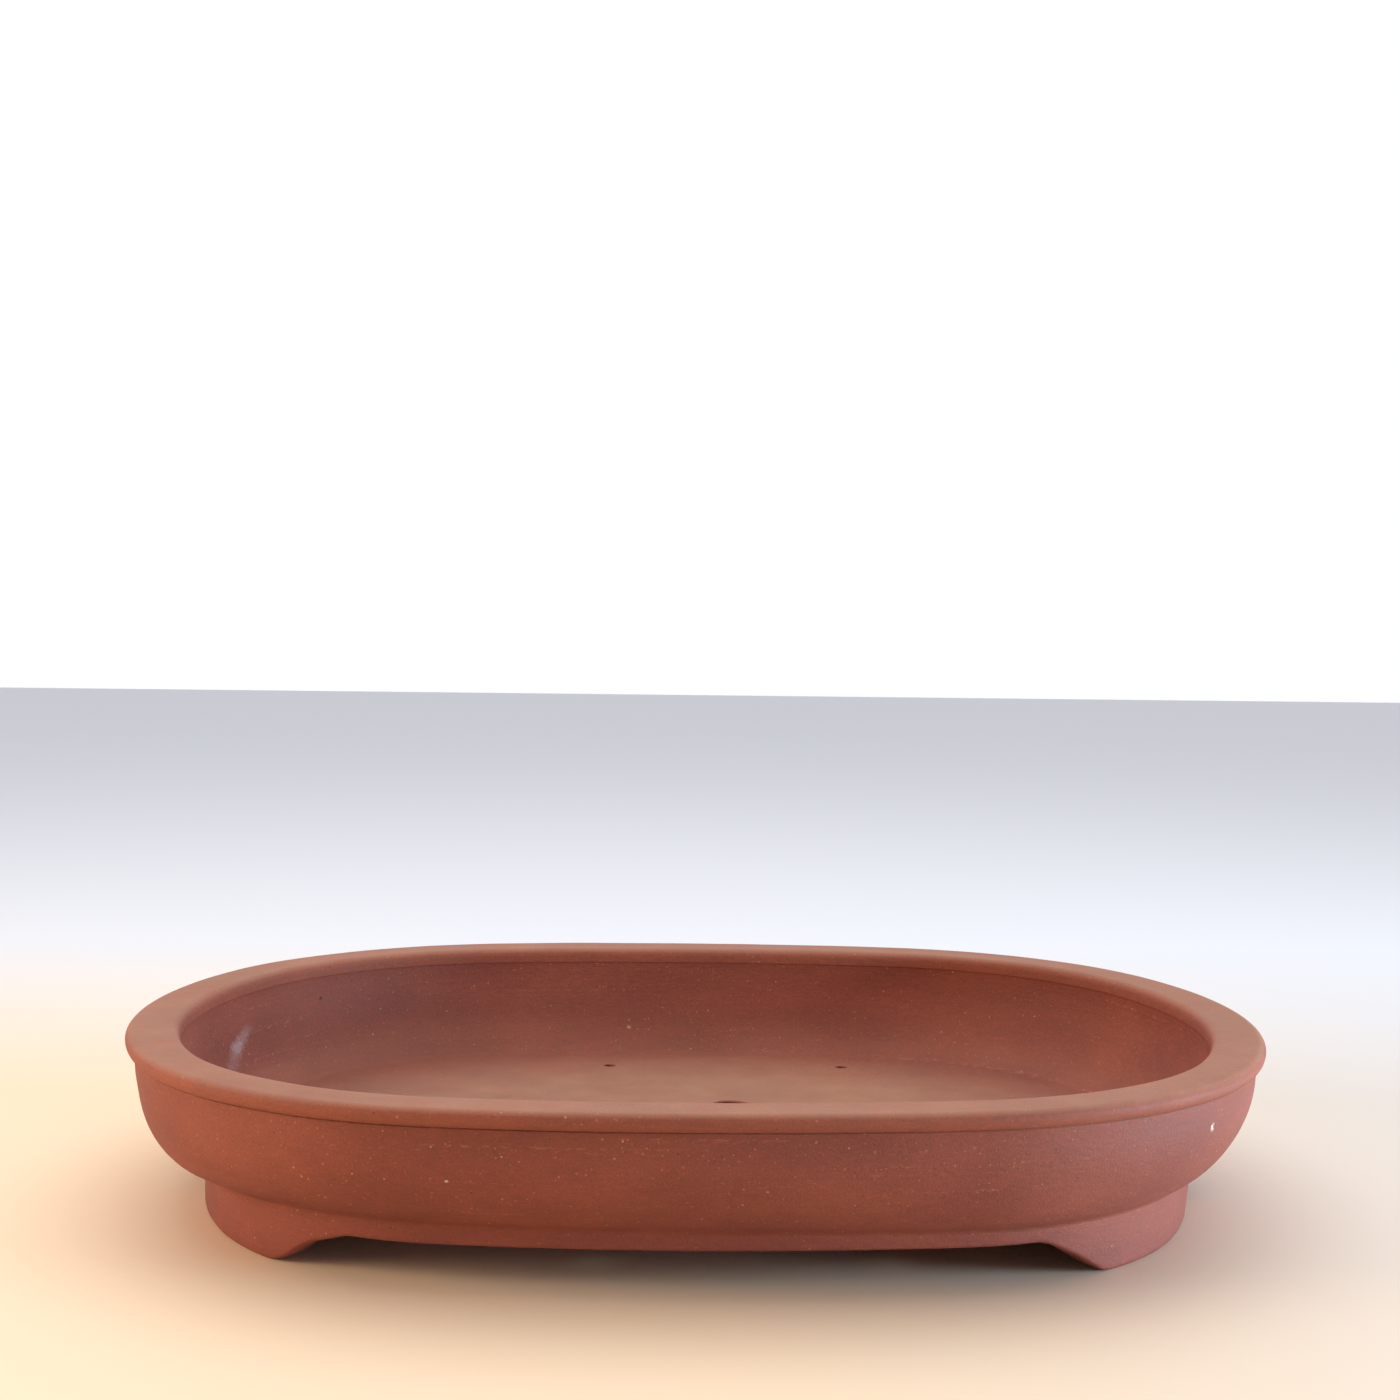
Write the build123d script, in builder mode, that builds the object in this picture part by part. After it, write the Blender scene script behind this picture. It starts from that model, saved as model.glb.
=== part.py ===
"""An oval training pot for a bonsai, in unglazed stoneware.

Eight clay members are made one by one and luted together, face to face, before the firing:
a floor slab with its holes, a wall, a flat rim, a low foot band and four feet.
Millimetres, +Z up. The origin is on the table under the middle of the pot, +X along its length.
"""

import os
from math import cos, radians, sin, tan

from build123d import *

# Overall sizes, over the widest line of the rim
length = 456.0
width = 356.0
height = 70.0

# The rim's outline: its sides, ends and corners are arcs that meet in tangents
corner_radius = 144.5
side_half_turn = 7.6  # degrees
end_half_turn = 25.7  # degrees

# Rim
rim_width = 20.8
rim_lip = 6.6  # depth of the outer lip
rim_nose = 3.0  # radius from the lip's widest line to the top face
rim_tuck = 2.8  # inset of the lip's lower edge
rim_inner_round = 3.5  # along the inner edge of the top face
rim_under_round = 1.0  # along the inner edge underneath

# Wall
wall_inset = 3.4  # of the outer face, just under the rim
wall_straight = 7.0  # height of the straight stretch under the rim
wall_lean = 3.0  # degrees, of that stretch
wall_thickness = 16.2  # under the rim, where the wall flares inwards to carry it
wall_arris = 0.7  # chamfer along the wall's top edge, which leaves a groove under the rim
belly_end = 67.3  # degrees from upright, where the belly meets the foot band
inner_lean = -5.2  # degrees, at the top of the inner face, which is a little undercut
inner_end = 60.0  # degrees from upright, at the foot of the inner face
inner_fillet = 8.0

# Floor slab
floor_top = 23.5
floor_thickness = 7.0
floor_margin = 0.6  # flat left on the wall's foot, between its fillet and the slab's edge

# Foot band and feet
band_top = 22.3
band_height = 6.9
band_ledge = 0.6  # how far the band stands out from the end of the belly
band_round = 0.5
foot_thickness = 14.0
foot_taper = 2.3  # how far the outer face leans in, from the band's top to the table
foot_round = 1.5

# Arches between the feet: a level head, a drooping shoulder, then a slope down to the toe
side_arch_half_width = 124.0
side_arch_shift = -1.5  # of a long arch's middle from the pot's middle
left_arch_run = 29.0  # from the end of the head to the toe
left_shoulder_run = 16.0
left_shoulder_drop = 5.0
left_toe_round = 12.0
right_arch_run = 25.5
right_shoulder_run = 13.0
right_shoulder_drop = 6.9
right_toe_round = 6.0
end_arch_half_width = 14.0
end_arch_run = 14.0
end_shoulder_run = 6.0
end_shoulder_drop = 4.0
end_toe_round = 6.0

# Holes in the floor, in a pattern that sits off the middle of the pot
pattern_shift = 16.0
drain_radius = 8.0
drain_pitch_x = 190.0
drain_pitch_y = 70.0
wire_radius = 2.5
wire_pitch_x = 107.0
wire_pitch_y = 223.0

# Heights worked out from the sizes above
rim_bottom = height - rim_lip
band_bottom = band_top - band_height
floor_bottom = floor_top - floor_thickness

# Centres and radii of the outline's arcs. A corner's centre lies on the normals at the end of
# the side's arc and of the end's arc, so both run into the corner without a kink.
side_sine = sin(radians(side_half_turn))
side_sag = 1 - cos(radians(side_half_turn))
end_sine = sin(radians(end_half_turn))
end_sag = 1 - cos(radians(end_half_turn))
reach_x = length / 2 - corner_radius
reach_y = width / 2 - corner_radius
share = side_sine * end_sine - side_sag * end_sag
side_extra = (reach_x * end_sine - reach_y * end_sag) / share
end_extra = (reach_y * side_sine - reach_x * side_sag) / share
corner_centre = (side_extra * side_sine, end_extra * end_sine)
corner_turn = 90 - side_half_turn - end_half_turn


def draw_outline(inset):
    """Draw the rim's outline, or a line that follows it at a constant inset."""
    side_radius = corner_radius + side_extra - inset
    end_radius = corner_radius + end_extra - inset
    for half in (0, 180):
        facing = 1 - half / 90
        end_x = facing * (length / 2 - inset - end_radius)
        side_y = facing * (width / 2 - inset - side_radius)
        corner_x, corner_y = corner_centre
        first = (facing * corner_x, facing * corner_y)
        second = (-facing * corner_x, facing * corner_y)
        radius = corner_radius - inset
        CenterArc((end_x, 0), end_radius, half - end_half_turn, 2 * end_half_turn)
        CenterArc(first, radius, half + end_half_turn, corner_turn)
        CenterArc((0, side_y), side_radius, half + 90 - side_half_turn, 2 * side_half_turn)
        CenterArc(second, radius, half + 90 + side_half_turn, corner_turn)


def at(inset, z):
    """A point of a section through the back of the pot, from its inset and its height."""
    return (width / 2 - inset, z)


def foot_face(z):
    """Inset of the outer face that the foot band and the feet share."""
    return band_inset + foot_taper * (band_top - z) / band_top


# The belly's arc starts under the straight stretch and ends at the top of the foot band
belly_top = rim_bottom - wall_straight
belly_start = wall_inset + wall_straight * tan(radians(wall_lean))
belly_radius = (belly_top - band_top) / (sin(radians(belly_end)) - sin(radians(wall_lean)))
belly_foot = belly_start + belly_radius * (cos(radians(wall_lean)) - cos(radians(belly_end)))
band_inset = belly_foot - band_ledge

# The inner face is one arc, from the rim's underside down to the floor
inner_start = wall_inset + wall_thickness
inner_radius = (rim_bottom - floor_top) / (sin(radians(inner_end)) - sin(radians(inner_lean)))
inner_foot = inner_start + inner_radius * (cos(radians(inner_lean)) - cos(radians(inner_end)))
fillet_run = inner_fillet * tan(radians(90 - inner_end) / 2)
slab_inset = inner_foot + fillet_run + floor_margin

with BuildLine() as rim_line:
    draw_outline(0)

# Rim: a flat coil, rounded outwards into a lip that overhangs the wall a little
with BuildPart() as rim:
    with BuildSketch(Plane.YZ):
        with BuildLine():
            widest = at(0, height - rim_nose)
            Line(at(rim_width, rim_bottom), at(rim_tuck, rim_bottom))
            TangentArc(widest, at(rim_tuck, rim_bottom), tangent=(0, -1))
            TangentArc(widest, at(rim_nose, height), tangent=(0, 1))
            Polyline(at(rim_nose, height), at(rim_width, height), at(rim_width, rim_bottom))
        make_face()
        over = vertices().sort_by_distance(at(rim_width, height))[0]
        fillet(over, rim_inner_round)
        under = vertices().sort_by_distance(at(rim_width, rim_bottom))[0]
        fillet(under, rim_under_round)
    sweep(path=rim_line.wire())
rim.part.label = "rim"

# Wall: nearly upright under the rim, then a round belly outside and a flatter curve inside
with BuildPart() as wall:
    with BuildSketch(Plane.YZ):
        with BuildLine():
            brink = at(wall_inset, rim_bottom)
            shoulder = at(belly_start, belly_top)
            lean = (-sin(radians(wall_lean)), -cos(radians(wall_lean)))
            inner_brink = at(inner_start, rim_bottom)
            inner_slope = (-sin(radians(inner_lean)), -cos(radians(inner_lean)))
            Polyline(inner_brink, brink, shoulder)
            TangentArc(shoulder, at(belly_foot, band_top), tangent=lean)
            Polyline(
                at(belly_foot, band_top),
                at(slab_inset, band_top),
                at(slab_inset, floor_top),
                at(inner_foot, floor_top),
            )
            TangentArc(inner_brink, at(inner_foot, floor_top), tangent=inner_slope)
        make_face()
        floor_corner = vertices().sort_by_distance(at(inner_foot, floor_top))[0]
        fillet(floor_corner, inner_fillet)
        top_corner = vertices().sort_by_distance(brink)[0]
        chamfer(top_corner, wall_arris)
    sweep(path=rim_line.wire())
wall.part.label = "wall"

# Floor: a slab that fills the ring of the wall's foot and of the band
with BuildPart() as floor:
    with BuildSketch(Plane.XY.offset(floor_bottom)):
        with BuildLine():
            draw_outline(slab_inset)
        make_face()
        with Locations((pattern_shift, 0)):
            with GridLocations(drain_pitch_x, 1, 2, 1):
                Circle(drain_radius, mode=Mode.SUBTRACT)
            with GridLocations(1, drain_pitch_y, 1, 2):
                Circle(drain_radius, mode=Mode.SUBTRACT)
            with GridLocations(wire_pitch_x, wire_pitch_y, 2, 2):
                Circle(wire_radius, mode=Mode.SUBTRACT)
    extrude(amount=floor_thickness)
floor.part.label = "floor"

# Foot band: a low ring under the wall, which shows as a narrow strip above the arches
with BuildPart() as foot_band:
    with BuildSketch(Plane.YZ):
        with BuildLine():
            Polyline(
                at(slab_inset, band_bottom),
                at(foot_face(band_bottom), band_bottom),
                at(band_inset, band_top),
                at(slab_inset, band_top),
                close=True,
            )
        make_face()
        band_corner = vertices().sort_by_distance(at(band_inset, band_top))[0]
        fillet(band_corner, band_round)
    sweep(path=rim_line.wire())
foot_band.part.label = "foot_band"


def draw_arch(facing, head, run, shoulder_run, shoulder_drop, toe_round):
    """Draw half of an arch, upright, from the middle of the pot to the toe on the side it faces."""
    toe = head + run
    flare = toe + toe_round
    Polyline(
        (0, -toe_round),
        (0, band_bottom),
        (facing * head, band_bottom),
        (facing * (head + shoulder_run), band_bottom - shoulder_drop),
        (facing * toe, 0),
        (facing * flare, 0),
        (facing * flare, -toe_round),
        close=True,
    )


# Feet: one under each corner, cut from a ring by the arches of the sides and of the ends. The
# shapes of the toes differ a little from left to right, as they were cut by eye.
left_head = side_arch_half_width - side_arch_shift
right_head = side_arch_half_width + side_arch_shift
left_arch = (left_head, left_arch_run, left_shoulder_run, left_shoulder_drop, left_toe_round)
right_arch = (right_head, right_arch_run, right_shoulder_run, right_shoulder_drop, right_toe_round)
end_arch = (end_arch_half_width, end_arch_run, end_shoulder_run, end_shoulder_drop, end_toe_round)
feet = []
for end, across, side_arch in (("left", -1, left_arch), ("right", 1, right_arch)):
    for side, along in (("front", -1), ("back", 1)):
        with BuildPart() as foot:
            with BuildSketch(Plane.YZ):
                with BuildLine():
                    Polyline(
                        at(band_inset + foot_thickness, 0),
                        at(foot_face(0), 0),
                        at(foot_face(band_bottom), band_bottom),
                        at(band_inset + foot_thickness, band_bottom),
                        close=True,
                    )
                make_face()
                fillet(vertices().group_by(Axis.Y)[0], foot_round)
            sweep(path=rim_line.wire())
            split(bisect_by=Plane.XZ, keep=Keep.TOP if along < 0 else Keep.BOTTOM)
            split(bisect_by=Plane.YZ, keep=Keep.TOP if across > 0 else Keep.BOTTOM)
            with BuildSketch(Plane.XZ):
                with BuildLine():
                    draw_arch(across, *side_arch)
                make_face()
                toe = (across * (side_arch[0] + side_arch[1]), 0)
                fillet(vertices().sort_by_distance(toe)[0], side_arch[-1])
            extrude(amount=width / 2, both=True, mode=Mode.SUBTRACT)
            with BuildSketch(Plane.YZ):
                with BuildLine():
                    draw_arch(along, *end_arch)
                make_face()
                toe = (along * (end_arch_half_width + end_arch_run), 0)
                fillet(vertices().sort_by_distance(toe)[0], end_toe_round)
            extrude(amount=length / 2, both=True, mode=Mode.SUBTRACT)
        foot.part.label = f"{side}_{end}_foot"
        feet.append(foot.part)

os.makedirs("parts", exist_ok=True)
for piece in (rim.part, wall.part, floor.part, foot_band.part, *feet):
    export_step(piece, f"parts/{piece.label}.step")
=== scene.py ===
"""An oval bonsai training pot in unglazed red-brown stoneware, empty, on a pale floor."""

import math

import bpy
from mathutils import Matrix, Vector, noise


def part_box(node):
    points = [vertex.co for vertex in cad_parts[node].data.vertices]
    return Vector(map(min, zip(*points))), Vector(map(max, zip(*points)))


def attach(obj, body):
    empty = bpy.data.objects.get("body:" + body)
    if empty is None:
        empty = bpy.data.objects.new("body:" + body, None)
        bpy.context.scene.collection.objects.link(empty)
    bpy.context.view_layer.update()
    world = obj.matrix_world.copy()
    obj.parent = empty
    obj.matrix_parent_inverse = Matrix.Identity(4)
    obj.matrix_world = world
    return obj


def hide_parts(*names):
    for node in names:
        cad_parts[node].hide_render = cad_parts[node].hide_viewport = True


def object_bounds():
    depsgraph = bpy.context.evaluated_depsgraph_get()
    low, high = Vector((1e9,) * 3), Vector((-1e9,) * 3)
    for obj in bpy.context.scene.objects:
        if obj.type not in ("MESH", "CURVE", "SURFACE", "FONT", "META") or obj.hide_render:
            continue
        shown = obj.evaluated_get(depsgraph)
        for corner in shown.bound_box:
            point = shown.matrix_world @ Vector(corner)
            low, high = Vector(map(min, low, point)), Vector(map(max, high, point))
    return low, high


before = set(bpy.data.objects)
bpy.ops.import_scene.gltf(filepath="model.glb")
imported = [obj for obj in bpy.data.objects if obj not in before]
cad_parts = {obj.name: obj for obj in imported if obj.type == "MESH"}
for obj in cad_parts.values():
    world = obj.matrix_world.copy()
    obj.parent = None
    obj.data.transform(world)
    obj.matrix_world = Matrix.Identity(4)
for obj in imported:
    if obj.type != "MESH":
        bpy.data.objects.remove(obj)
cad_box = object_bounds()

# Camera: it stands a little left of the pot's middle, about a metre from it, and looks down
# over the front rim by a few degrees.
camera = bpy.data.objects.new("camera", bpy.data.cameras.new("camera"))
bpy.context.scene.collection.objects.link(camera)
heading, pitch, roll = (math.radians(angle) for angle in (-0.953, 87.004, 0.677))
camera.matrix_world = (
    Matrix.Translation((-0.0150, -0.9109, 0.2463))
    @ Matrix.Rotation(heading, 4, "Z")
    @ Matrix.Rotation(pitch, 4, "X")
    @ Matrix.Rotation(roll, 4, "Z")
)
camera.data.lens = 57.46
camera.data.sensor_width = 36
camera.data.clip_start = 0.01
bpy.context.scene.camera = camera

# Wall: the side of the bowl, bent round from a rolled strip of clay and paddled out to a
# round belly. It is scraped level with a rib when leather-hard, and fired without a glaze.
half_length, half_width, rim_top = cad_box[1]
corner_radius = 0.1445
side_half_turn, end_half_turn = math.radians(7.6), math.radians(25.7)
side_sine, side_sag = math.sin(side_half_turn), 1 - math.cos(side_half_turn)
end_sine, end_sag = math.sin(end_half_turn), 1 - math.cos(end_half_turn)
reach_x, reach_y = half_length - corner_radius, half_width - corner_radius
share = side_sine * end_sine - side_sag * end_sag
side_extra = (reach_x * end_sine - reach_y * end_sag) / share
end_extra = (reach_y * side_sine - reach_x * side_sag) / share
corner_centre = (side_extra * side_sine, end_extra * end_sine)


def outline(way_round, inset):
    """A point at an inset from the rim's oval, from 0 to 1 anticlockwise from the right end."""
    quarter, step = divmod(way_round % 1 * 4, 1)
    end_run = end_half_turn * (corner_radius + end_extra)
    corner_run = (math.pi / 2 - side_half_turn - end_half_turn) * corner_radius
    side_run = side_half_turn * (corner_radius + side_extra)
    run = (step if quarter % 2 == 0 else 1 - step) * (end_run + corner_run + side_run)
    if run < end_run:
        radius = corner_radius + end_extra
        centre, angle = (half_length - radius, 0), run / radius
    elif run < end_run + corner_run:
        radius = corner_radius
        centre, angle = corner_centre, end_half_turn + (run - end_run) / radius
    else:
        radius = corner_radius + side_extra
        centre = (0, half_width - radius)
        angle = math.pi / 2 - (end_run + corner_run + side_run - run) / radius
    x = centre[0] + (radius - inset) * math.cos(angle)
    y = centre[1] + (radius - inset) * math.sin(angle)
    return (x if quarter in (0, 3) else -x, y if quarter < 2 else -y)


def straight(start, end, rows):
    """Points of a section, as inset and height, along a straight line."""
    return [tuple(a + (b - a) * row / rows for a, b in zip(start, end)) for row in range(rows + 1)]


def bend(start, end, lean, rows):
    """Points of a section along an arc that leaves its start at so many degrees from upright."""
    first = math.radians(lean)
    half = math.atan2(end[0] - start[0], start[1] - end[1]) - first
    radius = math.dist(start, end) / 2 / math.sin(half)
    angles = [first + 2 * half * row / rows for row in range(rows + 1)]
    return [
        (
            start[0] + radius * (math.cos(first) - math.cos(angle)),
            start[1] + radius * (math.sin(first) - math.sin(angle)),
        )
        for angle in angles
    ]


def closed(*stretches):
    """One closed section out of stretches that meet end to end."""
    points = []
    for point in [point for stretch in stretches for point in stretch]:
        if not points or math.dist(points[-1], point) > 1e-6:
            points.append(point)
    return points if math.dist(points[0], points[-1]) < 1e-6 else points + points[:1]


def select_only(piece):
    """Make one piece the selected and the active one."""
    bpy.ops.object.select_all(action="DESELECT")
    piece.select_set(True)
    bpy.context.view_layer.objects.active = piece


def clay_sheet(name, columns, rows, place):
    """A sheet of quads, each vertex placed from its column and row, and sewn where it meets."""
    bpy.ops.object.select_all(action="DESELECT")
    bpy.ops.mesh.primitive_grid_add(x_subdivisions=columns, y_subdivisions=rows, size=2)
    piece = bpy.context.object
    piece.name = name
    for vertex in piece.data.vertices:
        column = round((vertex.co.x + 1) / 2 * columns)
        row = round((vertex.co.y + 1) / 2 * rows)
        vertex.co = place(column, row)
    bpy.ops.object.mode_set(mode="EDIT")
    bpy.ops.mesh.select_all(action="SELECT")
    bpy.ops.mesh.remove_doubles(threshold=2e-6)
    bpy.ops.mesh.normals_make_consistent(inside=False)
    bpy.ops.object.mode_set(mode="OBJECT")
    return piece


def clay_ring(name, columns, section):
    """A ring round the oval, with the same closed section all the way."""
    return clay_sheet(
        name,
        columns,
        len(section) - 1,
        lambda column, row: (*outline(column / columns, section[row][0]), section[row][1]),
    )


def inset_of(x, y):
    """How far a point lies inside the rim's oval."""
    x, y = abs(x), abs(y)
    angle = math.atan2(y - corner_centre[1], x - corner_centre[0])
    if angle < end_half_turn:
        radius = corner_radius + end_extra
        return radius - math.hypot(x - half_length + radius, y)
    if angle < math.pi / 2 - side_half_turn:
        return corner_radius - math.hypot(x - corner_centre[0], y - corner_centre[1])
    radius = corner_radius + side_extra
    return radius - math.hypot(x, y - half_width + radius)


def ease(value, low, high):
    """From 0 to 1, smoothly, as a value goes from low to high."""
    part = min(max((value - low) / (high - low), 0), 1)
    return part * part * (3 - 2 * part)


# How far the clay is uneven, slowly and quickly, which is the same each time, and how far the
# left end swells and the band's trimming slopes.
noise.seed_set(3)
slow_wave, quick_wave = 0.00035, 0.00008
left_swell, trim_slope, trim_limit, left_trim = 0.0028, 0.0075, 0.12, 0.0026


def touch_by_hand(piece):
    """Move a finished piece's surface a little, as hands and drying move soft clay."""
    for vertex in piece.data.vertices:
        x, y, z = vertex.co
        slow = noise.noise_vector(Vector((x, y, z * 1.6)) * 9)
        quick = noise.noise_vector(Vector((x, y, z * 1.3)) * 48)
        moved = slow * slow_wave + quick * quick_wave
        moved.z *= z / rim_top
        # The belly is fuller at the left end, the ring under it is tucked in there, and the
        # band was trimmed by eye, lower towards the right.
        outer = 1 - ease(inset_of(x, y), 0.030, 0.038)
        left = ease(-x, 0.09, 0.20) * outer
        on_belly = ease(z, 0.0235, 0.029) * (1 - ease(z, 0.031, 0.052))
        on_ring = (0.5 + 0.5 * ease(z, 0, 0.016)) * (1 - ease(z, 0.018, 0.024))
        on_band = ease(z, 0.016, 0.0215) * (1 - ease(z, 0.024, 0.045))
        moved.x += left_swell * left * (on_ring - on_belly)
        trimmed = trim_slope * min(max(x, -trim_limit), trim_limit) + left_trim * ease(-x, 0.14, 0.20)
        moved.z -= trimmed * outer * on_band
        vertex.co = Vector((x, y, z)) + moved
    select_only(piece)
    bpy.ops.object.shade_smooth_by_angle(angle=math.radians(38))
    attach(piece, "root")


def cut_out(piece, cutter):
    """Cut a closed shape out of a piece, and take the shape away."""
    cut = piece.modifiers.new(cutter.name, "BOOLEAN")
    cut.object = cutter
    cut.solver = "EXACT"
    select_only(piece)
    bpy.ops.object.modifier_apply(modifier=cut.name)
    bpy.data.objects.remove(cutter)


wall_low, wall_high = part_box("wall")
floor_low, floor_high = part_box("floor")
band_top, rim_bottom, floor_top = wall_low.z, wall_high.z, floor_high.z
wall_inset = half_length - wall_high.x
slab_inset = half_length - floor_high.x
wall_arris, wall_straight, wall_thickness = 0.0007, 0.007, 0.0169
wall_lean, belly_end, inner_lean, inner_end = 3.0, 67.3, -5.2, 60.0


def reach(drop, lean, end):
    """How far an arc runs inwards while it drops, from one angle off upright to another."""
    lean, end = math.radians(lean), math.radians(end)
    return drop * (math.cos(lean) - math.cos(end)) / (math.sin(end) - math.sin(lean))


belly_top = rim_bottom - wall_straight
belly_start = wall_inset + wall_straight * math.tan(math.radians(wall_lean))
belly_foot = belly_start + reach(belly_top - band_top, wall_lean, belly_end)
inner_start = wall_inset + wall_thickness
inner_foot = inner_start + reach(rim_bottom - floor_top, inner_lean, inner_end)
inner_face = bend((inner_start, rim_bottom), (inner_foot, floor_top), inner_lean, 48)[:-3]

# The belly's foot is smeared over the band with a finger, so the seam between them is soft.
belly = bend((belly_start, belly_top), (belly_foot, band_top), wall_lean, 56)[:-3]
belly_turn = math.atan2(belly[-1][0] - belly[-2][0], belly[-2][1] - belly[-1][1])
smear_down, smear_in = 0.0015, 0.0002
seam = band_top - smear_down
seam_inset = half_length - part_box("foot_band")[1].x + smear_in
seam_back = belly_foot + 0.001
wall = clay_ring(
    "fired_wall",
    560,
    closed(
        straight((inner_start, rim_bottom), (wall_inset + wall_arris, rim_bottom), 4),
        straight((wall_inset + wall_arris, rim_bottom), (wall_inset, rim_bottom - wall_arris), 2),
        straight((wall_inset, rim_bottom - wall_arris), (belly_start, belly_top), 2),
        belly,
        bend(belly[-1], (seam_inset, seam), math.degrees(belly_turn), 6),
        straight((seam_inset, seam), (seam_back, band_top), 2),
        straight((seam_back, band_top), (slab_inset, band_top), 4),
        straight((slab_inset, band_top), (slab_inset, floor_top), 2),
        bend((slab_inset, floor_top), inner_face[-1], -90, 5),
        inner_face[::-1],
    ),
)
touch_by_hand(wall)

# A chip has come off the belly's right shoulder.
chip_place, chip_radius = (0.18575, -0.11935, 0.0527), 0.002
bpy.ops.object.select_all(action="DESELECT")
bpy.ops.mesh.primitive_ico_sphere_add(subdivisions=3, radius=chip_radius, location=chip_place)
flake = bpy.context.object
for vertex in flake.data.vertices:
    vertex.co = vertex.co * (1 + 0.25 * noise.noise(vertex.co * 900))
cut_out(wall, flake)
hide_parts("wall")


def group_of(name, inputs, outputs):
    """A new shader node group, and its input and output nodes."""
    group = bpy.data.node_groups.new(name, "ShaderNodeTree")
    for label, kind, value in inputs:
        group.interface.new_socket(label, in_out="INPUT", socket_type=kind).default_value = value
    for label, kind in outputs:
        group.interface.new_socket(label, in_out="OUTPUT", socket_type=kind)
    return group, group.nodes.new("NodeGroupInput"), group.nodes.new("NodeGroupOutput")


def add(tree, kind, links=(), **values):
    """A new node in a tree. Links are pairs of an input and the socket that feeds it."""
    node = tree.nodes.new(kind)
    for name, value in values.items():
        setattr(node, name, value)
    for name, value in dict(links).items():
        if isinstance(value, bpy.types.NodeSocket):
            tree.links.new(value, node.inputs[name])
        else:
            node.inputs[name].default_value = value
    return node


def blend_colours(tree, amount, first, second, kind="MIX"):
    """The socket of a mix of two colours."""
    node = add(tree, "ShaderNodeMix", data_type="RGBA", blend_type=kind)
    for number, value in ((0, amount), (6, first), (7, second)):
        socket = node.inputs[number]
        if isinstance(value, bpy.types.NodeSocket):
            tree.links.new(value, socket)
        else:
            socket.default_value = value
    return node.outputs[2]


def between(tree, value, low, high, to_low=0.0, to_high=1.0):
    """The socket of a value brought from one range to another, and held to it."""
    return add(
        tree,
        "ShaderNodeMapRange",
        {"Value": value, "From Min": low, "From Max": high, "To Min": to_low, "To Max": to_high},
    ).outputs[0]


def maths(tree, operation, first, second):
    """The socket of a sum, product or other working of two values."""
    return add(tree, "ShaderNodeMath", {0: first, 1: second}, operation=operation).outputs[0]


def times(tree, first, *others):
    """The socket of a product of two or more values."""
    for other in others:
        first = maths(tree, "MULTIPLY", first, other)
    return first


def tone(red, green, blue):
    """A colour for a shader from the way it looks, in shares of 255."""
    linear = [
        part / 12.92 if part <= 0.04045 else ((part + 0.055) / 1.055) ** 2.4
        for part in (red / 255, green / 255, blue / 255)
    ]
    return (*linear, 1.0)


# The body of the clay: a red-brown ground that the kiln has clouded, with grains of red and
# of pale grog in it, and small pits where grains have gone, painted dark as a painted shade in them.
clay_body, given, result = group_of(
    "clay_body",
    [
        ("Ground", "NodeSocketColor", tone(150, 84, 66)),
        ("Cloud", "NodeSocketColor", tone(128, 70, 58)),
        ("Grog", "NodeSocketFloat", 1.0),
        ("Scrape", "NodeSocketFloat", 1.0),
    ],
    [("Color", "NodeSocketColor"), ("Roughness", "NodeSocketFloat"), ("Height", "NodeSocketFloat")],
)
place = add(clay_body, "ShaderNodeTexCoord").outputs["Object"]
level_place = add(clay_body, "ShaderNodeMapping", {"Vector": place, "Scale": (1, 1, 2.6)}).outputs[0]
rib_place = add(clay_body, "ShaderNodeMapping", {"Vector": place, "Scale": (7, 7, 620)}).outputs[0]


def mottle(tree, where, scale, detail):
    """The socket of an uneven value from 0 to 1, finer with more scale."""
    links = {"Vector": where, "Scale": scale, "Detail": detail}
    return add(tree, "ShaderNodeTexNoise", links).outputs[0]


clouds = mottle(clay_body, level_place, 21, 7)
patches = mottle(clay_body, level_place, 260, 4)
grain = mottle(clay_body, place, 1500, 2)
ribs = mottle(clay_body, rib_place, 1, 4)
colour = blend_colours(
    clay_body, between(clay_body, clouds, 0.36, 0.66), given.outputs["Ground"], given.outputs["Cloud"]
)
shade = maths(
    clay_body,
    "ADD",
    between(clay_body, patches, 0.25, 0.75, 0.86, 1.10),
    between(clay_body, grain, 0.3, 0.7, -0.11, 0.11),
)
grey = add(clay_body, "ShaderNodeCombineColor", {0: shade, 1: shade, 2: shade}).outputs[0]
colour = blend_colours(clay_body, 1.0, colour, grey, "MULTIPLY")


def grains(spacing, size, share_of_cells):
    """A mask of scattered grains: spacing and radius in metres, and how many cells have one."""
    cells = add(clay_body, "ShaderNodeTexVoronoi", {"Vector": place, "Scale": 1 / spacing})
    chance = add(clay_body, "ShaderNodeSeparateColor", {"Color": cells.outputs["Color"]})
    size_here = times(clay_body, chance.outputs[1], size / spacing)
    inside = maths(clay_body, "LESS_THAN", cells.outputs["Distance"], size_here)
    kept = maths(clay_body, "LESS_THAN", chance.outputs[0], share_of_cells)
    return times(clay_body, inside, kept)


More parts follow.
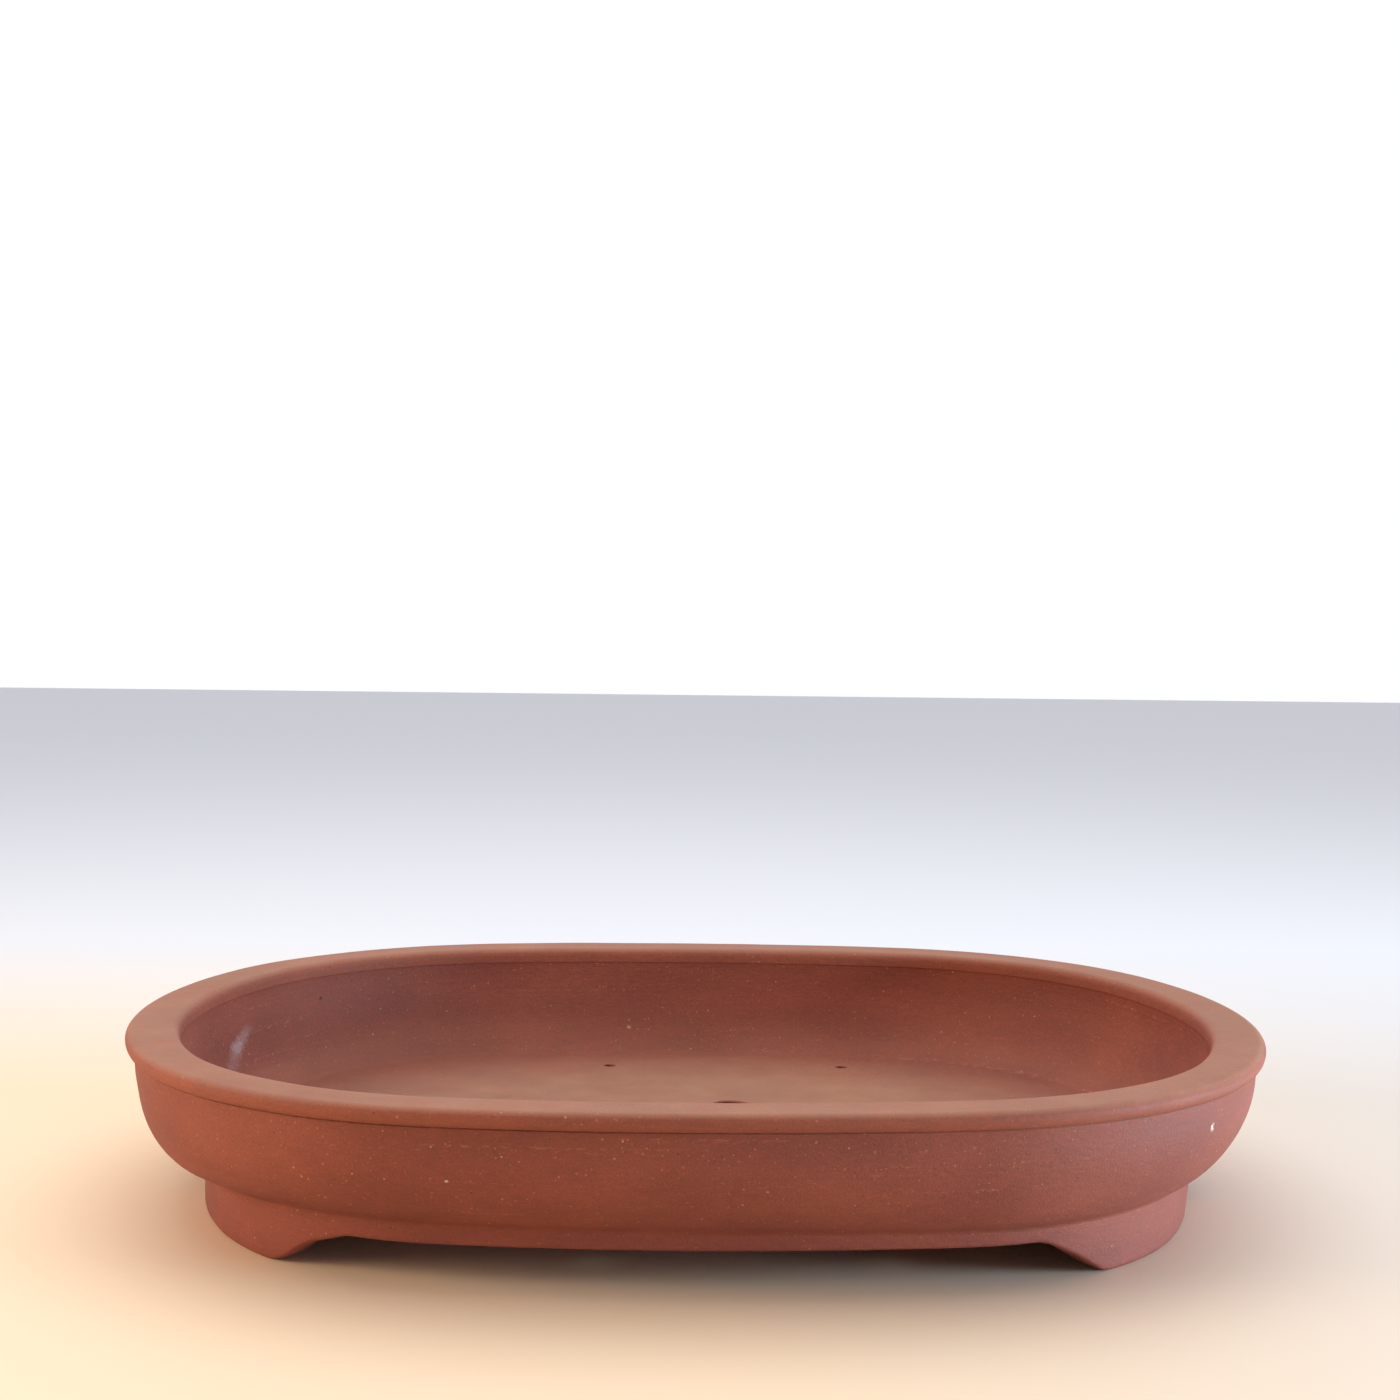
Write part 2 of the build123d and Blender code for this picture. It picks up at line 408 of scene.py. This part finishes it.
# The rib has dragged the grog along in level rows, so there is more of it in some rows.
rows = between(clay_body, ribs, 0.40, 0.66, 0.25, 1.0)
amount = times(clay_body, given.outputs["Grog"], rows)
for grog, strength, grog_colour in (
    (grains(0.0010, 0.00044, 0.50), 0.42, tone(186, 88, 62)),
    (grains(0.0017, 0.00055, 0.30), 0.45, tone(206, 122, 86)),
    (grains(0.0027, 0.00050, 0.20), 0.60, tone(214, 170, 140)),
    (grains(0.0022, 0.00050, 0.25), 0.30, tone(84, 40, 34)),
):
    seen = times(clay_body, grog, strength, amount)
    colour = blend_colours(clay_body, seen, colour, grog_colour)
pits_with_painted_shade = grains(0.0030, 0.0005, 0.35)
# The pits are painted dark, a painted shade inside each pit; they are also pressed into the relief.
colour = blend_colours(clay_body, times(clay_body, pits_with_painted_shade, 0.45), colour, tone(82, 42, 34))
# Where a rib pressed hardest it has dragged pale streaks.
hard_rows = between(clay_body, ribs, 0.62, 0.72)
streaks = between(clay_body, patches, 0.5, 0.6)
dragged = times(clay_body, hard_rows, streaks, given.outputs["Scrape"], 0.35)
colour = blend_colours(clay_body, dragged, colour, tone(206, 136, 108))
relief = maths(
    clay_body,
    "ADD",
    between(clay_body, grain, 0.2, 0.8, -0.6, 0.6),
    between(clay_body, patches, 0.2, 0.8, -0.8, 0.8),
)
relief = maths(clay_body, "SUBTRACT", relief, times(clay_body, pits_with_painted_shade, 1.6))
scraped = times(clay_body, between(clay_body, ribs, 0.3, 0.7, -0.5, 0.5), given.outputs["Scrape"])
clay_body.links.new(colour, result.inputs["Color"])
clay_body.links.new(between(clay_body, patches, 0.2, 0.8, 0.62, 0.82), result.inputs["Roughness"])
clay_body.links.new(maths(clay_body, "ADD", relief, scraped), result.inputs["Height"])


# Dust and sheen: what faces up is paler than the rest, partly from dust and hard water that settle there
# and partly as painted light, a painted sheen of the bright room and painted light from above.
dust_and_sheen, given, result = group_of(
    "dust_and_sheen",
    [("Color", "NodeSocketColor", tone(150, 84, 66)), ("Amount", "NodeSocketFloat", 1.0)],
    [("Color", "NodeSocketColor")],
)
lie = add(dust_and_sheen, "ShaderNodeTexCoord")
up = add(dust_and_sheen, "ShaderNodeSeparateXYZ", {0: lie.outputs["Normal"]}).outputs["Z"]
height = add(dust_and_sheen, "ShaderNodeSeparateXYZ", {0: lie.outputs["Object"]}).outputs["Z"]
drift = between(dust_and_sheen, mottle(dust_and_sheen, lie.outputs["Object"], 55, 6), 0.25, 0.75, 0.6, 1.0)


def vectors(tree, operation, first, second=(0, 0, 0)):
    """The node of a sum, product or other working of two vectors, or of the first alone."""
    return add(tree, "ShaderNodeVectorMath", {0: first, 1: second}, operation=operation)


# On the floor the paleness is painted fainter towards the foot of the wall, a painted shade in the
# corner between wall and floor; at the rim's height it stays full.
out_towards_corner = vectors(dust_and_sheen, "MULTIPLY", lie.outputs["Object"], (4.9, 6.5, 0)).outputs[0]
out_towards_corner = vectors(dust_and_sheen, "LENGTH", out_towards_corner).outputs["Value"]
# Painted shade: the floor's paleness falls off towards the corner at the wall's foot.
rim_or_unshaded_middle = maths(
    dust_and_sheen,
    "MAXIMUM",
    between(dust_and_sheen, height, 0.055, 0.062),
    between(dust_and_sheen, out_towards_corner, 0.55, 0.92, 1.0, 0.22),
)
# The paler colour on up-facing faces is partly dust and partly a painted sheen and painted light from
# above.
dust_and_sheen_mask = times(dust_and_sheen, between(dust_and_sheen, up, 0.45, 1.0), drift, given.outputs["Amount"], rim_or_unshaded_middle)
dust_and_sheen_colour = blend_colours(dust_and_sheen, dust_and_sheen_mask, given.outputs["Color"], tone(194, 155, 120))
dust_and_sheen.links.new(dust_and_sheen_colour, result.inputs["Color"])


# Marks: the pale clay inside the chip, two grains that stand out, a dark fleck, and a smear of
# hard water, made of the last five. Each is an egg-shaped spot with a ragged edge, given by its
# place, its half width across and upright, its strength and its colour.
marks, given, result = group_of(
    "marks", [("Color", "NodeSocketColor", tone(150, 84, 66))], [("Color", "NodeSocketColor")]
)
marks_place = add(marks, "ShaderNodeTexCoord").outputs["Object"]
ragged = between(marks, mottle(marks, marks_place, 900, 3), 0.3, 0.7, -0.35, 0.35)
marked = given.outputs["Color"]
for centre, across, upright, strength, mark_colour in (
    ((0.1848, -0.1183, 0.0527), 0.0013, 0.0017, 0.95, tone(232, 204, 184)),
    ((-0.0295, 0.1488, 0.0336), 0.0011, 0.0010, 0.75, tone(205, 150, 128)),
    ((-0.1711, 0.1102, 0.0536), 0.0012, 0.0012, 0.85, tone(52, 26, 24)),
    ((-0.0861, -0.1663, 0.0439), 0.0007, 0.0006, 0.90, tone(226, 190, 160)),
    ((-0.1956, 0.0622, 0.0480), 0.0050, 0.0024, 0.16, tone(186, 160, 160)),
    ((-0.1963, 0.0577, 0.0456), 0.0055, 0.0028, 0.28, tone(186, 160, 160)),
    ((-0.1971, 0.0520, 0.0432), 0.0060, 0.0030, 0.50, tone(186, 160, 160)),
    ((-0.1965, 0.0485, 0.0400), 0.0060, 0.0030, 0.22, tone(186, 160, 160)),
    ((-0.1960, 0.0429, 0.0368), 0.0060, 0.0028, 0.16, tone(186, 160, 160)),
):
    scaled = (1 / across, 1 / across, 1 / upright)
    away = vectors(marks, "SUBTRACT", marks_place, centre).outputs[0]
    away = vectors(marks, "MULTIPLY", away, scaled).outputs[0]
    away = vectors(marks, "LENGTH", away).outputs["Value"]
    away = maths(marks, "ADD", away, ragged)
    marked = blend_colours(marks, between(marks, away, 1.2, 0.5, 0.0, strength), marked, mark_colour)
marks.links.new(marked, result.inputs["Color"])


def clay_material(name, ground, cloud, grog, scrape, dust_and_sheen_amount):
    """A clay of its own colours, made of the clay body, with dust and a painted sheen on what faces up,
    and marks.
    """
    material = bpy.data.materials.new(name)
    material.use_nodes = True
    tree = material.node_tree
    shader = tree.nodes["Principled BSDF"]
    body = add(tree, "ShaderNodeGroup", node_tree=clay_body)
    body.inputs["Ground"].default_value = ground
    body.inputs["Cloud"].default_value = cloud
    body.inputs["Grog"].default_value = grog
    body.inputs["Scrape"].default_value = scrape
    feel = {"Strength": 0.35, "Distance": 0.0002, "Height": body.outputs["Height"]}
    bump = add(tree, "ShaderNodeBump", feel)
    dust_and_sheen_layer = add(tree, "ShaderNodeGroup", node_tree=dust_and_sheen)
    dust_and_sheen_layer.inputs["Amount"].default_value = dust_and_sheen_amount
    tree.links.new(body.outputs["Color"], dust_and_sheen_layer.inputs["Color"])
    flaws = add(tree, "ShaderNodeGroup", node_tree=marks)
    tree.links.new(dust_and_sheen_layer.outputs["Color"], flaws.inputs["Color"])
    tree.links.new(flaws.outputs["Color"], shader.inputs["Base Color"])
    tree.links.new(body.outputs["Roughness"], shader.inputs["Roughness"])
    tree.links.new(bump.outputs["Normal"], shader.inputs["Normal"])
    shader.inputs["Specular IOR Level"].default_value = 0.5
    return material


bowl_ground, bowl_cloud = tone(145, 72, 53), tone(132, 64, 48)
wall_clay = clay_material("wall_clay", bowl_ground, bowl_cloud, grog=1.0, scrape=0.6, dust_and_sheen_amount=0.45)
wall.data.materials.append(wall_clay)

# Rim: a flat coil of the same clay luted on top of the wall and trimmed, with a rounded lip
# that overhangs the wall by a few millimetres outside and barely inside. Dust and a painted sheen lie on
# its top.
rim_width = 0.0208
rim_nose, rim_tuck, rim_inner_round, rim_under_round = 0.003, 0.0028, 0.0035, 0.0005
rim = clay_ring(
    "fired_rim",
    640,
    closed(
        bend((0, rim_top - rim_nose), (rim_tuck, rim_bottom), 0, 8)[::-1],
        bend((0, rim_top - rim_nose), (rim_nose, rim_top), 180, 8),
        straight((rim_nose, rim_top), (rim_width - rim_inner_round, rim_top), 10),
        bend((rim_width - rim_inner_round, rim_top), (rim_width, rim_top - rim_inner_round), 90, 9),
        straight((rim_width, rim_top - rim_inner_round), (rim_width, rim_bottom + rim_under_round), 3),
        bend((rim_width, rim_bottom + rim_under_round), (rim_width - rim_under_round, rim_bottom), 0, 5),
        straight((rim_width - rim_under_round, rim_bottom), (rim_tuck, rim_bottom), 8),
    ),
)
touch_by_hand(rim)
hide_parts("rim")
rim_ground, rim_cloud = tone(151, 77, 54), tone(140, 71, 51)
rim_clay = clay_material("rim_clay", rim_ground, rim_cloud, grog=0.8, scrape=0.2, dust_and_sheen_amount=0.33)
rim.data.materials.append(rim_clay)

# Floor: a rolled slab that fills the ring of the wall. The drain holes and the wire holes are
# cut through it and their edges are sponged round.
floor_bottom = floor_low.z
slab_steps = 96


def slab_point(column, row):
    """A point of the slab, from a square grid laid over the oval."""
    u, v = column / slab_steps * 2 - 1, row / slab_steps * 2 - 1
    x, y = u * math.sqrt(1 - v * v / 2), v * math.sqrt(1 - u * u / 2)
    share_out = math.hypot(x, y)
    if share_out < 1e-9:
        return (0, 0, floor_top)
    edge_x, edge_y = outline(math.atan2(y, x) / math.tau, slab_inset)
    return (edge_x * share_out, edge_y * share_out, floor_top)


floor = clay_sheet("fired_floor", slab_steps, slab_steps, slab_point)
slab = floor.modifiers.new("slab", "SOLIDIFY")
slab.thickness = floor_top - floor_bottom
slab.offset = -1
bpy.ops.object.modifier_apply(modifier="slab")

# Four drain holes stand in a cross about the middle of four wire holes.
pattern_shift = 0.016
drain_radius, drain_out, drain_across = 0.008, 0.095, 0.035
wire_radius, wire_out, wire_across = 0.0025, 0.0535, 0.1115
edge_round, edge_share, cutter_clear = 0.0012, 0.3, 0.001
drain_places = [(drain_out, 0), (-drain_out, 0), (0, drain_across), (0, -drain_across)]
wire_places = [(x * wire_out, y * wire_across) for x in (-1, 1) for y in (-1, 1)]
holes = [(pattern_shift + x, y, drain_radius) for x, y in drain_places]
holes += [(pattern_shift + x, y, wire_radius) for x, y in wire_places]
plugs = []
for x, y, radius in holes:
    soft = min(edge_round, radius * edge_share)
    here = (radius + soft + cutter_clear, floor_top + cutter_clear)
    bpy.ops.object.select_all(action="DESELECT")
    bpy.ops.mesh.primitive_circle_add(
        vertices=48, radius=here[0], location=(x, y, here[1]), fill_type="NGON"
    )
    plug = bpy.context.object
    bpy.ops.object.transform_apply(location=True)
    bpy.ops.object.mode_set(mode="EDIT")
    upper = [(radius + soft, floor_top)] + [
        (radius + soft * (1 - math.sin(turn)), floor_top - soft * (1 - math.cos(turn)))
        for turn in (0.4, 0.8, 1.2, math.pi / 2)
    ]
    lower = [(wide, floor_top + floor_bottom - z) for wide, z in upper[::-1]]
    for wide, z in upper + lower + [(here[0], floor_bottom - cutter_clear)]:
        bpy.ops.mesh.extrude_region_move(TRANSFORM_OT_translate={"value": (0, 0, z - here[1])})
        bpy.ops.transform.resize(value=(wide / here[0], wide / here[0], 1), center_override=(x, y, z))
        here = (wide, z)
    bpy.ops.mesh.select_all(action="SELECT")
    bpy.ops.mesh.normals_make_consistent(inside=False)
    bpy.ops.object.mode_set(mode="OBJECT")
    plugs.append(plug)
bpy.ops.object.select_all(action="DESELECT")
for plug in plugs:
    plug.select_set(True)
bpy.context.view_layer.objects.active = plugs[0]
bpy.ops.object.join()
cut_out(floor, plugs[0])
touch_by_hand(floor)
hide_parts("floor")
floor_clay = clay_material("floor_clay", bowl_ground, bowl_cloud, grog=0.7, scrape=0.0, dust_and_sheen_amount=0.45)
floor.data.materials.append(floor_clay)

# Foot band and feet: a low ring luted under the wall. Its lower edge is cut away in arches, a
# long one on each side and a short one at each end, and what is left between them is the feet.
band_low, band_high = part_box("foot_band")
band_bottom = band_low.z
band_inset = half_length - band_high.x
band_round, foot_round, foot_thickness, foot_taper = 0.0005, 0.0016, 0.014, 0.0023

# Half of each arch's flat head, its run, its shoulder's run and drop, and how far its corners
# are softened at the head and at the toe. The sides' toes were cut by eye and differ.
end_arch = (0.014, 0.014, 0.006, 0.004, 0.002, 0.002)
left_arch = (0.1255, 0.029, 0.016, 0.005, 0.0015, 0.0048)
right_arch = (0.1225, 0.0255, 0.013, 0.0069, 0.0035, 0.0028)


def arch_height(x, y):
    """Height of the ring's lower edge at a point of its outer face."""
    if abs(y) < abs(x) * 0.6:
        from_middle, arch = abs(y), end_arch
    else:
        from_middle, arch = abs(x), left_arch if x < 0 else right_arch
    head, run, shoulder, drop, soft_head, soft_toe = arch
    corners = [
        (0, band_bottom),
        (head, band_bottom),
        (head + shoulder, band_bottom - drop),
        (head + run, 0),
        (1, 0),
    ]
    soft = soft_head + (soft_toe - soft_head) * min(max((from_middle - head) / run, 0), 1)
    heights = []
    for step in range(-4, 5):
        here = max(from_middle + soft * step / 4, 0)
        for (x0, z0), (x1, z1) in zip(corners, corners[1:]):
            if x0 <= here <= x1:
                heights.append(z0 + (z1 - z0) * (here - x0) / (x1 - x0))
                break
    return sum(heights) / len(heights)


def foot_face(z):
    """Inset of the outer face of the band and the feet."""
    return band_inset + foot_taper * (band_top - z) / band_top


foot_columns = 900
band_inner = band_inset + foot_thickness
foot_sections = []
for column in range(foot_columns + 1):
    edge = arch_height(*outline(column / foot_columns, band_inset))
    outer_toe = (foot_face(edge + foot_round), edge + foot_round)
    under_toe = (foot_face(edge) + foot_round, edge)
    under_heel = (band_inner - foot_round, edge)
    inner_heel = (band_inner, edge + foot_round)
    foot_sections.append(
        closed(
            bend((band_inset + band_round, band_top), (band_inset, band_top - band_round), -90, 4),
            straight((band_inset, band_top - band_round), outer_toe, 14),
            bend(outer_toe, under_toe, 5, 5),
            straight(under_toe, under_heel, 4),
            bend(under_heel, inner_heel, 90, 4),
            straight(inner_heel, (band_inner, band_top), 8),
            straight((band_inner, band_top), (band_inset + band_round, band_top), 4),
        )
    )
foot_ring = clay_sheet(
    "fired_foot_band",
    foot_columns,
    len(foot_sections[0]) - 1,
    lambda column, row: (
        *outline(column / foot_columns, foot_sections[column][row][0]),
        foot_sections[column][row][1],
    ),
)


def cut_level(piece, z, keep_above):
    """Cut a piece level at a height, keep one side and close it."""
    select_only(piece)
    bpy.ops.object.mode_set(mode="EDIT")
    bpy.ops.mesh.select_all(action="SELECT")
    bpy.ops.mesh.bisect(
        plane_co=(0, 0, z),
        plane_no=(0, 0, 1),
        use_fill=True,
        clear_inner=keep_above,
        clear_outer=not keep_above,
        threshold=0.000001,
    )
    bpy.ops.object.mode_set(mode="OBJECT")


feet_ring = foot_ring.copy()
feet_ring.data = foot_ring.data.copy()
bpy.context.scene.collection.objects.link(feet_ring)
cut_height = band_bottom - 0.00001
cut_level(foot_ring, cut_height, keep_above=True)
cut_level(feet_ring, cut_height, keep_above=False)
bpy.ops.mesh.separate(type="LOOSE")
foot_ground, foot_cloud = tone(147, 73, 55), tone(134, 65, 50)
foot_clay = clay_material("foot_clay", foot_ground, foot_cloud, grog=0.9, scrape=0.3, dust_and_sheen_amount=0.4)
ring_pieces = {"foot_band": foot_ring}
for foot in bpy.context.selected_objects:
    middle = sum((vertex.co for vertex in foot.data.vertices), Vector())
    side, end = "front" if middle.y < 0 else "back", "left" if middle.x < 0 else "right"
    foot.name = f"fired_{side}_{end}_foot"
    ring_pieces[f"{side}_{end}_foot"] = foot
for node, piece in ring_pieces.items():
    touch_by_hand(piece)
    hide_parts(node)
    piece.data.materials.append(foot_clay)

# Studio: a plain pale floor and soft light. The floor is painted warmer and brighter on the left,
# as painted warm light, and cooler and greyer on the right, as painted shade, and it is warmer
# near the pot than far off, where it turns the room's pale grey. The room is bright behind the pot
# and dimmer in front of it, with a broad light above, a warm one on the left and a cool low one on the
# right.
bpy.ops.object.select_all(action="DESELECT")
bpy.ops.mesh.primitive_plane_add(size=8)
table = bpy.context.object
table.name = "pale_floor"
table_finish = bpy.data.materials.new("pale_floor")
table_finish.use_nodes = True
table_tree = table_finish.node_tree
table_shader = table_tree.nodes["Principled BSDF"]
table_shader.inputs["Roughness"].default_value = 0.7
on_table = add(table_tree, "ShaderNodeTexCoord").outputs["Object"]
spot = add(table_tree, "ShaderNodeSeparateXYZ", {0: on_table})
# Painted light: warm and bright on the left of the floor, cooler and greyer shade on the right.
towards_painted_cool_side = between(table_tree, spot.outputs["X"], 0.0, 0.4)
to_back = between(table_tree, spot.outputs["Y"], 0.15, 0.6)
painted_light_across = blend_colours(table_tree, towards_painted_cool_side, tone(248, 222, 190), tone(224, 212, 202))
table_colour = blend_colours(table_tree, to_back, painted_light_across, tone(240, 241, 246))
table_tree.links.new(table_colour, table_shader.inputs["Base Color"])
table.data.materials.append(table_finish)


def soft_light(name, place, size, power, colour):
    """A square soft light that faces the pot."""
    light = bpy.data.lights.new(name, "AREA")
    light.size, light.energy, light.color = size, power, colour
    lamp = bpy.data.objects.new(name, light)
    lamp.location = place
    lamp.rotation_euler = (Vector((0, 0, 0.04)) - Vector(place)).to_track_quat("-Z", "Y").to_euler()
    bpy.context.scene.collection.objects.link(lamp)


soft_light("above", (0.0, 0.08, 1.4), 1.8, 11.0, (1.0, 1.0, 0.99))
soft_light("left", (-1.1, -0.4, 0.42), 0.5, 7.4, (1.0, 0.76, 0.50))
soft_light("right", (1.2, -0.3, 0.06), 0.4, 32, (0.56, 0.79, 1.0))
room = bpy.data.worlds.new("room")
room.use_nodes = True
sky = room.node_tree
in_room = add(sky, "ShaderNodeTexCoord").outputs["Generated"]
facing = add(sky, "ShaderNodeSeparateXYZ", {0: in_room})
glow = between(sky, facing.outputs["Y"], -0.4, 0.5, 0.31, 1.15)
sky.links.new(glow, sky.nodes["Background"].inputs["Strength"])
sky.nodes["Background"].inputs["Color"].default_value = tone(240, 241, 246)
bpy.context.scene.world = room
bpy.context.scene.view_settings.view_transform = "Standard"
